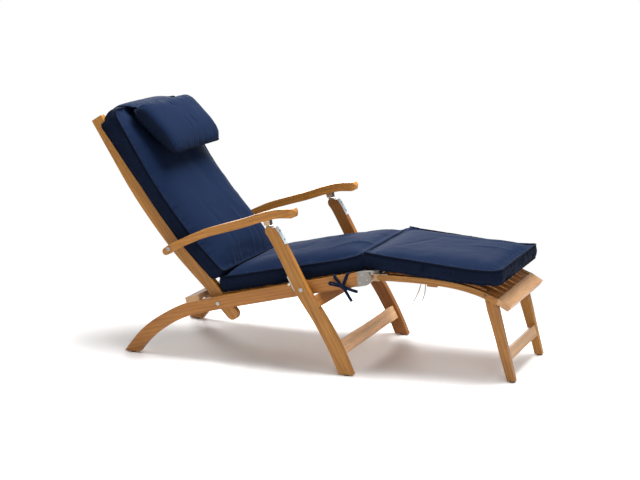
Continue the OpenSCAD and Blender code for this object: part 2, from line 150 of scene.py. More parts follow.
class Nodes:
    """A material's nodes, made and joined in few words."""

    def __init__(self, name):
        self.material = bpy.data.materials.new(name)
        self.material.use_nodes = True
        self.tree = self.material.node_tree
        self.shader = self.tree.nodes["Principled BSDF"]
        self.place = self.add("ShaderNodeTexCoord").outputs["Object"]

    def add(self, kind, **settings):
        node = self.tree.nodes.new(kind)
        for key, value in settings.items():
            setattr(node, key, value)
        return node

    def join(self, source, target):
        self.tree.links.new(source, target)

    def mapped(self, rotation=(0, 0, 0), scale=(1, 1, 1), move=(0, 0, 0)):
        """Coordinates turned so that X runs along the timber, then scaled."""
        turn = self.add("ShaderNodeMapping")
        turn.inputs["Rotation"].default_value = rotation
        self.join(self.place, turn.inputs["Vector"])
        size = self.add("ShaderNodeMapping")
        size.inputs["Scale"].default_value = scale
        size.inputs["Location"].default_value = move
        self.join(turn.outputs["Vector"], size.inputs["Vector"])
        return size.outputs["Vector"]

    def noise(self, vector, scale, detail=3, rough=0.55, distortion=0):
        n = self.add("ShaderNodeTexNoise")
        n.inputs["Scale"].default_value = scale
        n.inputs["Detail"].default_value = detail
        n.inputs["Roughness"].default_value = rough
        n.inputs["Distortion"].default_value = distortion
        self.join(vector, n.inputs["Vector"])
        return n.outputs["Fac"]

    def ramp(self, fac, stops):
        r = self.add("ShaderNodeValToRGB")
        while len(r.color_ramp.elements) < len(stops):
            r.color_ramp.elements.new(0.5)
        for element, (position, colour) in zip(r.color_ramp.elements, stops):
            element.position = position
            element.color = (*colour, 1)
        self.join(fac, r.inputs["Fac"])
        return r.outputs["Color"]

    def mix(self, fac, a, b):
        """A mix of two colours. Sockets 6 and 7, and output 2, are the node's colour ones."""
        m = self.add("ShaderNodeMix", data_type="RGBA")
        for key, value in ((0, fac), (6, a), (7, b)):
            if isinstance(value, (int, float)):
                m.inputs[key].default_value = value
            elif isinstance(value, tuple):
                m.inputs[key].default_value = (*value, 1)
            else:
                self.join(value, m.inputs[key])
        return m.outputs[2]

    def span(self, fac, low, high, from_low=0, from_high=1):
        m = self.add("ShaderNodeMapRange")
        m.inputs["From Min"].default_value = from_low
        m.inputs["From Max"].default_value = from_high
        m.inputs["To Min"].default_value = low
        m.inputs["To Max"].default_value = high
        self.join(fac, m.inputs["Value"])
        return m.outputs["Result"]

    def maths(self, kind, a, b):
        m = self.add("ShaderNodeMath", operation=kind)
        for key, value in ((0, a), (1, b)):
            if isinstance(value, (int, float)):
                m.inputs[key].default_value = value
            else:
                self.join(value, m.inputs[key])
        return m.outputs["Value"]

    def bump(self, height, strength, distance, normal=None):
        b = self.add("ShaderNodeBump")
        b.inputs["Strength"].default_value = strength
        b.inputs["Distance"].default_value = distance
        self.join(height, b.inputs["Height"])
        if normal is not None:
            self.join(normal, b.inputs["Normal"])
        return b.outputs["Normal"]

    def edges(self, radius):
        """A rounded normal, and how near the surface is to an edge."""
        bevel = self.add("ShaderNodeBevel", samples=6)
        bevel.inputs["Radius"].default_value = radius
        flat = self.add("ShaderNodeNewGeometry").outputs["Normal"]
        dot = self.add("ShaderNodeVectorMath", operation="DOT_PRODUCT")
        self.join(bevel.outputs["Normal"], dot.inputs[0])
        self.join(flat, dot.inputs[1])
        return bevel.outputs["Normal"], self.span(dot.outputs["Value"], 1, 0, 0.8, 1)

    def set(self, **values):
        for key, value in values.items():
            socket = self.shader.inputs[key.replace("_", " ")]
            if isinstance(value, (int, float)):
                socket.default_value = value
            elif isinstance(value, tuple):
                socket.default_value = (*value, 1)
            else:
                self.join(value, socket)
        return self


# Oiled teak: its own colour, what paleness adds to it, and what warmth adds to its green
TEAK_LIGHT = ((0.46, 0.193, 0.034), (0.30, 0.30, 0.27), 0.008)
TEAK_MIDDLE = ((0.33, 0.123, 0.019), (0.30, 0.27, 0.20), 0.006)
TEAK_DARK = ((0.15, 0.048, 0.007), (0.25, 0.20, 0.13), 0.004)
TEAK_PORE = (0.16, 0.062, 0.018)
TEAK_EDGE = (0.64, 0.37, 0.15)


def tone(colour, shade, warm, pale):
    own, paler, warmer = colour
    r, g, b = (c + pale * more for c, more in zip(own, paler))
    return r * shade, (g + warm * warmer) * shade, b * shade


def timber(name, slope, shade=1.0, warm=0.0, seed=0, pale=0.0):
    """Oiled teak whose grain runs at this slope in degrees in the side view, or at None across the chair."""
    n = Nodes(name)
    turn = (0, 0, math.radians(-90)) if slope is None else (0, math.radians(slope), 0)
    rng = random.Random(seed + 100)
    move = tuple(rng.uniform(-5, 5) for _ in range(3))
    broad = n.noise(n.mapped(turn, (2.2, 16, 16), move), 1.0, 3, 0.5, 0.4)
    bands = n.add("ShaderNodeTexWave", wave_type="RINGS", rings_direction="X", wave_profile="SAW")
    bands.inputs["Scale"].default_value = 1.0
    bands.inputs["Distortion"].default_value = 5.5
    bands.inputs["Detail"].default_value = 3.0
    bands.inputs["Detail Scale"].default_value = 1.2
    n.join(n.mapped(turn, (0.9, 22 * rng.uniform(0.8, 1.2), 30 * rng.uniform(0.8, 1.2)), move),
           bands.inputs["Vector"])
    fine = n.noise(n.mapped(turn, (9, 330, 330), move), 1.0, 4, 0.6)
    pores = n.noise(n.mapped(turn, (26, 900, 900), move), 1.0, 2, 0.6)
    light, middle, dark = (tone(c, shade, warm, pale) for c in (TEAK_LIGHT, TEAK_MIDDLE, TEAK_DARK))
    rings = n.ramp(bands.outputs["Fac"], [(0.0, middle), (0.55, light), (0.9, middle), (1.0, dark)])
    patches = n.ramp(broad, [(0.3, dark), (0.5, middle), (0.7, light)])
    colour = n.mix(0.5, rings, patches)
    colour = n.mix(n.span(fine, 0.0, 0.6, 0.45, 0.75), colour, dark)
    colour = n.mix(n.span(pores, 0.0, 0.6, 0.56, 0.72), colour, tuple(c * shade for c in TEAK_PORE))
    round_normal, edge = n.edges(0.0016)
    colour = n.mix(n.maths("MULTIPLY", edge, 0.35), colour, TEAK_EDGE)
    height = n.maths("ADD", n.maths("MULTIPLY", fine, 0.6), n.maths("MULTIPLY", pores, 0.4))
    n.set(Base_Color=colour, Roughness=n.span(fine, 0.40, 0.58), Specular_IOR_Level=0.4,
          Normal=n.bump(height, 0.22, 0.0006, round_normal))
    return n.material


def end_grain(name, base):
    """Pale freshly cut or greyed timber."""
    n = Nodes(name)
    rings = n.add("ShaderNodeTexWave", wave_type="RINGS", rings_direction="Y")
    rings.inputs["Scale"].default_value = 60
    rings.inputs["Distortion"].default_value = 3
    n.join(n.place, rings.inputs["Vector"])
    speck = n.noise(n.mapped(scale=(700, 700, 700)), 1.0, 3)
    dark = tuple(c * 0.72 for c in base)
    colour = n.mix(n.span(rings.outputs["Fac"], 0, 0.6), base, dark)
    colour = n.mix(n.span(speck, 0, 0.5, 0.5, 0.7), colour, tuple(c * 0.55 for c in base))
    round_normal, edge = n.edges(0.0015)
    n.set(Base_Color=n.mix(n.maths("MULTIPLY", edge, 0.3), colour, tuple(min(1, c * 1.3) for c in base)),
          Roughness=0.62, Normal=n.bump(speck, 0.25, 0.0005, round_normal))
    return n.material


def metal(name, base, rough, brushed=(30, 600, 600), metallic=1.0):
    n = Nodes(name)
    lines = n.noise(n.mapped(scale=brushed), 1.0, 3)
    clouds = n.noise(n.mapped(scale=(40, 40, 40)), 1.0, 3)
    round_normal, edge = n.edges(0.0006)
    colour = n.mix(n.span(clouds, 0, 0.35, 0.4, 0.75), base, tuple(c * 0.6 for c in base))
    colour = n.mix(n.maths("MULTIPLY", edge, 0.4), colour, tuple(min(1, c * 1.25) for c in base))
    n.set(Base_Color=colour, Metallic=metallic, Roughness=n.span(lines, rough * 0.75, rough * 1.3),
          Normal=n.bump(lines, 0.08, 0.0003, round_normal))
    return n.material


def cloth(name, base, sheen=0.35, weave=1.0, rough=0.85):
    """A plain woven acrylic."""
    n = Nodes(name)
    threads = []
    for direction in ("X", "Z", "Y"):
        w = n.add("ShaderNodeTexWave", wave_type="BANDS", bands_direction=direction)
        w.inputs["Scale"].default_value = 260
        w.inputs["Distortion"].default_value = 0.6
        w.inputs["Detail"].default_value = 1
        n.join(n.place, w.inputs["Vector"])
        threads.append(w.outputs["Fac"])
    weft = n.maths("MULTIPLY", threads[0], threads[1])
    weft = n.maths("ADD", weft, threads[2])
    slub = n.noise(n.mapped(scale=(90, 90, 90)), 1.0, 4, 0.6)
    clouds = n.noise(n.mapped(scale=(7, 7, 7)), 1.0, 2, 0.5)
    colour = n.mix(n.span(slub, 0.0, 0.45, 0.35, 0.8), base, tuple(c * 0.78 for c in base))
    colour = n.mix(n.span(clouds, 0.0, 0.35, 0.35, 0.75), colour, tuple(min(1, c * 1.16) for c in base))
    height = n.maths("ADD", n.maths("MULTIPLY", weft, 0.5), slub)
    n.set(Base_Color=colour, Roughness=rough, Specular_IOR_Level=0.06, Sheen_Weight=sheen,
          Sheen_Roughness=0.4, Normal=n.bump(height, 0.16 * weave, 0.0005))
    n.shader.inputs["Sheen Tint"].default_value = (0.55, 0.66, 0.95, 1)
    return n.material


def plain(name, base, rough):
    n = Nodes(name)
    speck = n.noise(n.mapped(scale=(400, 400, 400)), 1.0, 3)
    n.set(Base_Color=n.mix(n.span(speck, 0, 0.4), base, tuple(c * 0.7 for c in base)),
          Roughness=n.span(speck, rough * 0.85, min(1, rough * 1.1)), Normal=n.bump(speck, 0.1, 0.0003))
    return n.material


# Each timber's grain, by its slope in the side view or None across the chair, then its shade, its
# warmth and, for some boards, how much paler its colour is made
TIMBERS = {
    "seat_rail_right": (14, 0.94, 0), "seat_rail_left": (14, 0.92, 1),
    "seat_crossbar_rear": (None, 0.9, 0), "seat_crossbar_mid": (None, 0.9, 1),
    "seat_crossbar_front": (None, 0.92, 2), "seat_slats": (13, 1.0, 2),
    "back_stile_right": (-54, 1.08, 2), "back_stile_left": (-54, 1.0, 1),
    "back_top_rail": (None, 1.0, 0), "back_middle_rail": (None, 0.95, 0),
    "back_bottom_rail": (None, 0.95, 1), "back_slats": (-54, 1.0, 1),
    # armrest_left's higher shade is painted light: it brightens the far arm, which the cushions keep from the
    # fill and the floor's bounce
    "armrest_right": (17, 1.05, 1), "armrest_left": (17, 1.35, 1),
    "front_leg_right": (-62, 0.98, 2), "front_leg_left": (-62, 0.86, -1),
    "stop_bar": (None, 0.98, 0), "leg_stretcher": (None, 1.5, 1, 0.8),
    "footrest_rail_right": (-3, 1.02, 2), "footrest_rail_left": (-3, 1.0, 1),
    "footrest_cross_rail": (None, 0.95, 0), "footrest_slats": (-3, 0.98, -2),
    "footrest_end_board": (None, 0.95, 0, 0.5),
    "foot_leg_right": (-73, 0.80, 1), "foot_leg_left": (-73, 0.95, 2),
    "foot_stretcher": (None, 0.88, 1, 0.6),
}
STEEL = metal("stainless_steel", (0.40, 0.385, 0.36), 0.36)
SATIN = metal("satin_plate", (0.27, 0.25, 0.225), 0.55, metallic=0.6)
# The strike plates' bluish white base is a painted reflection of the studio's white light
PLATE_PAINTED_REFLECTION = metal("plate_painted_reflection", (0.72, 0.86, 0.97), 0.35, metallic=0.2)
FINISHES = {
    "rear_crossbar": end_grain("cut_teak", (0.46, 0.26, 0.125)),
    "arm_blocks": end_grain("pale_block", (0.58, 0.40, 0.24)),
    "footrest_knee_bar": end_grain("cut_bar", (0.50, 0.33, 0.19)),
    "arm_straps": metal("dark_strap", (0.10, 0.10, 0.11), 0.45),
    "foot_bolts": metal("blackened_bolt", (0.09, 0.085, 0.08), 0.45),
    "stop_pins": plain("pale_pin", (0.72, 0.68, 0.58), 0.45),
    "knee_caps": SATIN, "strike_plates": PLATE_PAINTED_REFLECTION,
}
GLIDE = plain("glide_rubber", (0.035, 0.033, 0.03), 0.8)

for name, obj in nodes.items():
    if name in TIMBERS:
        slope, shade, warm, *pale = TIMBERS[name]
        material = timber("teak_" + name, slope, shade, warm, len(name) * 7 + ord(name[-1]), *pale)
    elif name in FINISHES:
        material = FINISHES[name]
    elif name.endswith("glides"):
        material = GLIDE
    else:
        material = STEEL
    if not obj.data.materials:
        obj.data.materials.append(material)
    for i in range(len(obj.data.materials)):
        obj.data.materials[i] = material

NAVY = cloth("navy_cloth", (0.0046, 0.0119, 0.0365), 0.03)
# A darker copy of the same navy cloth: painted shade on the bands, undersides and pillow ends, which face
# away from the light
NAVY_BAND_PAINTED_SHADE = cloth("navy_band_painted_shade", (0.0040, 0.0076, 0.020), 0.015)
# The piping is the same navy cloth made darker: painted shade of the crease along each seam
NAVY_PIPING_PAINTED_SHADE = cloth("navy_piping_painted_shade", (0.0028, 0.0052, 0.0135), 0.03, 0.6)
NAVY_TAPE = cloth("navy_tape", (0.0055, 0.0100, 0.027), 0.05, 0.6)
TWINE = plain("twine", (0.20, 0.078, 0.026), 0.85)


# ---- Free cords: the four tie tapes and the two strings ----

TIE_FRONT = [(814, 257, 343.6), (812.5, 279.5, 345.6), (811, 285.8, 341.8), (810, 286, 337),
             (804, 286, 321), (799, 287, 306), (802, 288.5, 294), (810, 290, 281), (820, 290.5, 266),
             (830, 291, 251.5)]
TIE_REAR = [(764, 257, 332), (765, 279.5, 334.4), (767, 285.8, 330.6), (768, 286, 327),
            (779, 286.6, 315.5), (790, 290.3, 304), (801, 292, 299), (816, 292.5, 294.5),
            (834, 292.5, 289.5), (851, 292.5, 286)]
STRING_FRONT = [(1061.5, 212, 313), (1061, 212, 292.5), (1057, 212, 272), (1051.5, 212, 255)]
STRING_REAR = [(1046.5, 212, 313.4), (1037.5, 212, 284), (1024, 212, 255.5), (1010, 212, 231)]
# The bow's strands: a route, the half sizes of its section, and the way the first of them faces
KNOT = (
    ([(799, 295.2, 300), (785, 296.2, 306.5), (768, 296.4, 311), (754, 296.2, 311.5), (751, 295.2, 307),
      (757, 294.6, 304), (772, 294.6, 302.5), (787, 294.8, 300), (799, 295, 297.5)],
     0.0018, 0.0035, (0, 1, 0)),
    ([(791, 294.6, 303), (794, 298.6, 302), (799, 299.8, 299), (804, 298.6, 296), (806, 294.4, 295)],
     0.0040, 0.0016, (0.45, 0, 0.9)),
    ([(796, 294.6, 306), (798.5, 299.2, 302.5), (800, 299.6, 298), (800.5, 298.2, 294), (801, 294.6, 291)],
     0.0042, 0.0014, (0.95, 0, 0.3)),
)
TAPE_HALF_WIDTH, TAPE_HALF_THICK = 0.0054, 0.0012
TWINE_RADIUS = 0.0012
SLOPE = math.radians(13.4)  # of the seat
ALONG_RAIL = Vector((math.cos(SLOPE), 0, math.sin(SLOPE)))


def line_of(route, side, steps=4):
    """A smooth line through a route, on the left at side 1 and on the right at -1."""
    return smooth([at(x, side * y, z) for x, y, z in route], steps)


def facing(direction):
    """Turns a tube's u towards a direction."""
    return lambda t: (direction - t * direction.dot(t)).normalized()


def tape(name, node, route, side):
    line = line_of(route, side)
    verts, faces = tube(line, TAPE_HALF_WIDTH, TAPE_HALF_THICK, facing(ALONG_RAIL), 16, 0.6)
    obj = new_object(name, verts, faces, NAVY_TAPE, "seat_frame")
    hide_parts(node)


def bow(name, side):
    """The knot of two tapes, the loop that hangs back from it and the strand that wraps it."""
    verts, faces = [], []
    for route, half_u, half_v, direction in KNOT:
        line = line_of(route, side, 6)
        more = tube(line, half_u, half_v, facing(Vector(direction)), 12, base=len(verts))
        verts += more[0]
        faces += more[1]
    obj = new_object(name, verts, faces, NAVY_TAPE, "seat_frame")
    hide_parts("tie_bows")


bow("bow_right", -1)
bow("bow_left", 1)
for side, hand in ((-1, "right"), (1, "left")):
    tape("tape_front_" + hand, "tie_front_" + hand, TIE_FRONT, side)
    tape("tape_rear_" + hand, "tie_rear_" + hand, TIE_REAR, side)
for end, route in (("front", STRING_FRONT), ("rear", STRING_REAR)):
    line = line_of(route, -1)
    verts, faces = tube(line, TWINE_RADIUS, TWINE_RADIUS, lambda t: t.orthogonal().normalized(), 10)
    obj = new_object("twine_" + end, verts, faces, TWINE, "footrest")
    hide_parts("string_" + end)


# ---- Cushions ----

def rounded(a, b, la, lb, r):
    """Rounds the corners of a plan whose half sizes are la and lb."""
    qa, qb = abs(a) - (la - r), abs(b) - (lb - r)
    if r <= 0 or qa <= 0 or qb <= 0:
        return a, b
    k = max(qa, qb) / math.hypot(qa, qb)
    return math.copysign(la - r + qa * k, a), math.copysign(lb - r + qb * k, b)


GRID_STEP = 0.0085  # the size of a cushion's quads
BAND_STEPS = 6
LINE_STEPS = 400  # even steps along a cushion's side lines
CREASE_DEPTH, CREASE_REACH, CREASE_FADE = 0.012, 0.05, 0.35
BESIDE_STILE = 0.2545  # a band further out than this hangs beside the stile
LAP_REACH = 0.42  # the share of the length over which the band hangs back
LAP_OUT = 0.003
HEAD_REACH = 0.15
HEAD_SEAM = 0.35  # the seams' share of the head end's bulge


class Boxed:
    """A boxed cushion on a side line: two panels, a band all round and piping on both seams.

    below and above are the side view's lower and upper seam lines, from head end to foot end,
    as points in the same millimetres. The grid's u runs along, v across from -1 to 1, and w up.
    crease is the end, 0 or 1, where the cushion's top rolls down to its neighbour's. lap is how far
    the band hangs back over the frame's side at the head end, and head_bulge how far it swells there."""

    def __init__(self, below, above, half, corner, crease=None, lap=0.0, head_bulge=0.0):
        upper = [at(x, 0, z) for x, z in above]
        self.half = half / 1000
        self.length = length_of(upper)
        self.lo = even([at(x, 0, z) for x, z in below], LINE_STEPS)
        self.hi = even(upper, LINE_STEPS)
        self.corner, self.crease, self.lap, self.head_bulge = corner, crease, lap, head_bulge
        n = self.steps = (round(self.length / GRID_STEP), round(2 * self.half / GRID_STEP), BAND_STEPS)
        self.index, self.uvw, self.faces = {}, [], []
        for axis in range(3):
            a, b = [k for k in range(3) if k != axis]
            for end in (0, n[axis]):
                for i in range(n[a]):
                    for j in range(n[b]):
                        quad = []
                        for da, db in ((0, 0), (1, 0), (1, 1), (0, 1)):
                            key = [0, 0, 0]
                            key[axis], key[a], key[b] = end, i + da, j + db
                            quad.append(self.vertex(tuple(key)))
                        flip = (axis == 1) != (end > 0)
                        self.faces.append(tuple(quad) if not flip else tuple(reversed(quad)))

    def vertex(self, key):
        """The number of the point at this place in the grid, which is made where it is new."""
        if key not in self.index:
            self.index[key] = len(self.uvw)
            u, v, w = (k / n for k, n in zip(key, self.steps))
            self.uvw.append((u, v * 2 - 1, w))
        return self.index[key]

    def place(self, u, v, w):
        """A point of the plain box bent along the lines."""
        a, b = u * self.length, v * self.half
        r = self.corner[0] if u < 0.5 else self.corner[1]
        a2, b2 = rounded(a - self.length / 2, b, self.length / 2, self.half, r)
        along = min(max((a2 + self.length / 2) / self.length, 0), 1) * LINE_STEPS
        i = min(int(along), LINE_STEPS - 1)
        lo = self.lo[i].lerp(self.lo[i + 1], along - i)
        hi = self.hi[i].lerp(self.hi[i + 1], along - i)
        p = lo.lerp(hi, w)
        p.y = b2
        return p

    def normal(self, u):
        i = min(max(int(u * LINE_STEPS), 3), LINE_STEPS - 4)
        t = (self.hi[i + 3] - self.hi[i - 3]).normalized()
        return Vector((-t.z, 0, t.x))

    def creased(self, u):
        """Whether this place is in the half that ends in the crease."""
        return self.crease is not None and (u > 0.5) == (self.crease == 1)

    def seated(self, p, u, v, w):
        """The point p at (u, v, w) once the crease, the lap and the head end's bulge have moved it."""
        up = self.normal(u)
        if self.creased(u):
            dip = min(1, (1 - abs(v)) / CREASE_FADE) * math.exp(-abs(self.crease - u) / CREASE_REACH)
            p -= up * (CREASE_DEPTH * dip * w)
        if self.lap and abs(p.y) > BESIDE_STILE:
            reach = max(0, 1 - u / LAP_REACH) ** 1.2
            p -= up * (self.lap * reach * (1 - w))
            p.y += math.copysign(LAP_OUT * min(1, 4 * reach) * (1 - w), p.y)
        if self.head_bulge and u < HEAD_REACH and w in (0, 1):
            fade = (1 - v ** 10) * (1 - u / HEAD_REACH) ** 2
            p -= Vector((up.z, 0, -up.x)) * (HEAD_SEAM * self.head_bulge * fade)
        return p


def wobble(x, y, scale, seed):
    return noise.noise(Vector((x * scale, y * scale, seed * 7.31)))


FILL_FRAMES = 20
FILL_LIMIT = 0.010  # the furthest that filling moves a point
PUCKER_REACH = 0.06
STITCH_GAP, STITCH_WIDTH = 0.013, 0.0035  # the stitched line's distance from the seam, and its width
LOW_PIPING = 0.09  # the low piping's height, as a share of the band's
PIPING_RADIUS, JOIN_RADIUS = 0.0030, 0.0011
JOIN_OUT = 0.0048  # how far a join follows the band's bulge


def fold(a, b, shape, drift=0.0):
    """The height at (a, b) of a fold: its middle, its direction, its height, half width and half length."""
    fa, fb, turn, size, width, reach = shape
    c, s = math.cos(turn), math.sin(turn)
    along, off = (a - fa) * c + (b - fb) * s, (b - fb) * c - (a - fa) * s
    if abs(along) >= reach:
        return 0
    if drift:
        off += 0.004 * wobble(along, 0, 20, drift)
    return size * math.cos(math.pi / 2 * along / reach) * math.exp(-(off / width) ** 2)


def crowned(shape, crown, sag, bulge, heavy):
    """The cushion's points before it fills. heavy is how much higher its crown is towards the foot end."""
    points = []
    for u, v, w in shape.uvw:
        p = shape.seated(shape.place(u, v, w), u, v, w)
        up = shape.normal(u)
        a = 2 * u - 1
        fall = 0.62 * abs(a) ** 8 if shape.creased(u) else abs(a) ** 6
        full = (1 - fall) * (1 - abs(v) ** 6)
        if w == 1:
            p += up * (crown * full * (1 + heavy * a))
        elif w == 0:
            p -= up * (sag * full)
        else:
            swell = math.sin(math.pi * w)
            if abs(v) == 1:
                p.y += math.copysign(bulge * swell, v)
            if abs(a) == 1:
                side = bulge * swell
                if a < 0 and shape.head_bulge:
                    side = shape.head_bulge * (HEAD_SEAM + (1 - HEAD_SEAM) * swell) * (1 - v ** 10)
                p += Vector((up.z, 0, -up.x)) * math.copysign(side, a)
        points.append(p)
    return points


def fill(obj, shape):
    """Lets the cloth fill under pressure, held along its seams and over its underside."""
    count = len(shape.uvw)
    rest = np.empty(count * 3)
    obj.data.vertices.foreach_get("co", rest)
    rest = rest.reshape(-1, 3)
    group = obj.vertex_groups.new(name="seams")
    for i, (u, v, w) in enumerate(shape.uvw):
        on = (u in (0, 1)) + (abs(v) == 1) + (w in (0, 1))
        if on >= 2 or w == 0:
            group.add([i], 1.0, "REPLACE")
    cloth_mod = obj.modifiers.new("fill", "CLOTH")
    s = cloth_mod.settings
    s.quality = 6
    s.mass = 0.25
    s.tension_stiffness = s.compression_stiffness = 12
    s.shear_stiffness = 4
    s.bending_stiffness = 0.6
    s.shrink_min = -0.035
    s.vertex_group_mass = "seams"
    s.use_pressure = True
    s.uniform_pressure_force = 4
    s.effector_weights.gravity = 0
    scene = bpy.context.scene
    cloth_mod.point_cache.frame_start, cloth_mod.point_cache.frame_end = 1, FILL_FRAMES
    for f in range(1, FILL_FRAMES + 1):
        scene.frame_set(f)
    moved = np.empty(count * 3)
    obj.evaluated_get(bpy.context.evaluated_depsgraph_get()).data.vertices.foreach_get("co", moved)
    obj.modifiers.clear()
    scene.frame_set(1)
    move = moved.reshape(-1, 3) - rest
    far = np.linalg.norm(move, axis=1, keepdims=True)
    move *= np.minimum(1, FILL_LIMIT / np.maximum(far, 1e-9))
    obj.data.vertices.foreach_set("co", (rest + move).ravel())
    obj.data.update()


def rounded_mesh(obj, places, levels):
    """Subdivides a piece. Gives its mesh, its points, its normals and each point's place in the grid."""
    grid = obj.data.attributes.new("uvw", "FLOAT_VECTOR", "POINT")
    grid.data.foreach_set("vector", np.array(places, np.float32).ravel())
    sub = obj.modifiers.new("round", "SUBSURF")
    sub.levels = sub.render_levels = levels
    dg = bpy.context.evaluated_depsgraph_get()
    mesh = bpy.data.meshes.new_from_object(obj.evaluated_get(dg), depsgraph=dg)
    obj.modifiers.clear()
    obj.data = mesh
    count = len(mesh.vertices)
    points, normals, where = np.empty(count * 3), np.empty(count * 3), np.empty(count * 3, np.float32)
    mesh.vertices.foreach_get("co", points)
    mesh.vertices.foreach_get("normal", normals)
    mesh.attributes["uvw"].data.foreach_get("vector", where)
    mesh.attributes.remove(mesh.attributes["uvw"])
    return mesh, points.reshape(-1, 3), normals.reshape(-1, 3), where.reshape(-1, 3)


def puckers(shape, u, v, w, seed, pucker, folds):
    """How far the cloth stands out at one place, from its seams' puckers, its lumps and its folds."""
    a, b = u * shape.length, v * shape.half
    ends = (a, shape.length - a)
    sides = (shape.half - b, shape.half + b)
    move = 0.0
    if 0.001 <= w <= 0.999:
        run = b if min(ends) < min(sides) else a
        fine = wobble(run, 2, 60, seed + 1) + 0.5 * wobble(run, 8, 140, seed + 1)
        return 0.0012 * fine * math.exp(-min(w, 1 - w) / 0.2) + 0.0008 * wobble(run, w, 18, seed)
    for k, gap in enumerate((*ends, *sides)):
        if k == shape.crease or gap >= PUCKER_REACH:
            continue
        run = b if k < 2 else a
        stitched = max(0, wobble(run, k + 3, 45, seed) + 0.25)
        move -= 0.0035 * pucker * stitched * math.exp(-((gap - STITCH_GAP) / STITCH_WIDTH) ** 2)
        fine = wobble(run, k, 85, seed) + 0.6 * wobble(run, k + 5, 170, seed)
        reach = 0.016 + 0.016 * (wobble(run, k + 9, 30, seed) + 0.5)
        fall = math.exp(-gap / max(reach, 0.006)) * min(1, gap / 0.004)
        move += 0.0030 * pucker * fine * fall
    move += 0.0022 * wobble(a, b, 9, seed) + 0.0010 * wobble(a, b, 24, seed + 3)
    for each in folds:
        move += fold(a, b, each, seed)
    return move


def make_cushion(name, shape, body, seed, crown, sag, bulge, folds, pucker=1.0, heavy=0.0):
    """Builds the panels and the band, lets them fill, then adds seams, puckers and folds."""
    obj = new_object(name, crowned(shape, crown, sag, bulge, heavy), shape.faces, NAVY, None)
    fill(obj, shape)
    mesh, points, normals, where = rounded_mesh(obj, shape.uvw, 1)
    for i, place in enumerate(where):
        u, v, w = (float(x) for x in place)
        points[i] += normals[i] * puckers(shape, u, v, w, seed, pucker, folds)
    mesh.vertices.foreach_set("co", points.ravel())
    mesh.update()
    # The top panel takes the navy; the band and underside take its darker copy, which is painted shade
    mesh.materials.append(NAVY_BAND_PAINTED_SHADE)
    for poly in mesh.polygons:
        poly.use_smooth = True
        poly.material_index = 0 if np.mean([where[k][2] for k in poly.vertices]) > 0.999 else 1
    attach(obj, body)
    return obj


def seam_line(shape, w, n=90):
    """The line round one seam of a cushion: closed, or open at the end that meets its neighbour."""
    uv = [(1, -1 + 2 * i / n) for i in range(n)]
    uv += [(1 - i / n, 1) for i in range(n)]
    uv += [(0, 1 - 2 * i / n) for i in range(n)]
    uv += [(i / n, -1) for i in range(n)]
    if shape.crease == 1:
        uv = uv[n:] + [(1, -1)]
    if shape.crease == 0:
        uv = uv[3 * n:] + uv[:2 * n] + [(0, 1)]
    height = LOW_PIPING + (1 - LOW_PIPING) * w
    return [shape.seated(shape.place(u, v, height), u, v, w) for u, v in uv]


def sideways(t):
    """A level direction across a line, wherever the line isn't upright."""
    across = t.orthogonal() if abs(t.z) > 0.98 else t.cross(Vector((0, 0, 1)))
    return across.normalized()


def piping(name, line, radius, body, closed=True, seed=1, wave=0.0009):
    """A round cord sewn into a seam, with the small unevenness of sewn work."""
    line = [p + Vector((0, 0, 1)) * wave * wobble(p.x + p.y, p.z, 70, seed) for p in line]
    verts, faces = tube(line, radius, radius, sideways, 8, closed=closed)
    # The piping's darker cloth is painted shade of the seam's crease
    return new_object(name, verts, faces, NAVY_PIPING_PAINTED_SHADE, body)


def trim(name, shape, body, joins, seed):
    """Piping on a cushion's two seams, and the joins of its band, each at its share of the length.

    A join has its u and its side v at the top, and its u and w at its lower end."""
    made = []
    for end, w in (("low", 0), ("top", 1)):
        made.append(piping(f"{name}_piping_{end}", seam_line(shape, w), PIPING_RADIUS, body,
                           closed=shape.crease is None, seed=seed))
    for k, (u, v, u_low, w_low) in enumerate(joins):
        line = []
        for i in range(9):
            w = w_low + (1 - w_low) * i / 8
            p = shape.place(u_low + (u - u_low) * i / 8, v, w)
            p.y += math.copysign(JOIN_OUT * math.sin(math.pi * w), v)
            line.append(p)
        made.append(piping(f"{name}_join_{k + 1}", line, JOIN_RADIUS, body, closed=False, seed=seed,
                           wave=0.0004))
    return made


# The seat cushion: its front edge dips into the crease before the leg cushion
seat = Boxed(
    below=[(338, 235), (500, 271), (700, 317.5), (835, 348.5), (850, 353)],
    above=[(327, 287), (420, 305.5), (520, 327), (640, 352), (740, 373), (800, 387), (828, 396),
           (852, 406)],
    half=253, corner=(0.018, 0), crease=1)
# A fold is its middle along and across, its direction, its height, half width and half length
SEAT_FOLDS = [
    (0.27, 0.02, 1.25, 0.0045, 0.014, 0.15),
    (0.30, 0.10, 0.35, 0.0035, 0.012, 0.16),
    (0.12, -0.10, 0.25, 0.003, 0.012, 0.14),
    (0.46, -0.12, 0.55, -0.005, 0.016, 0.10),
    (0.07, 0.05, 1.45, 0.003, 0.010, 0.16),
    (0.40, 0.16, 0.9, 0.003, 0.012, 0.09),
]
seat_obj = make_cushion("seat_pad", seat, "seat_frame", 11, crown=0.048, sag=0.002, bulge=0.005,
                        folds=SEAT_FOLDS)
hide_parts("seat_cushion")
seat_trim = trim("seat_pad", seat, "seat_frame", ((0.925, -1, 0.965, 0.35), (0.925, 1, 0.965, 0.35)), 2)

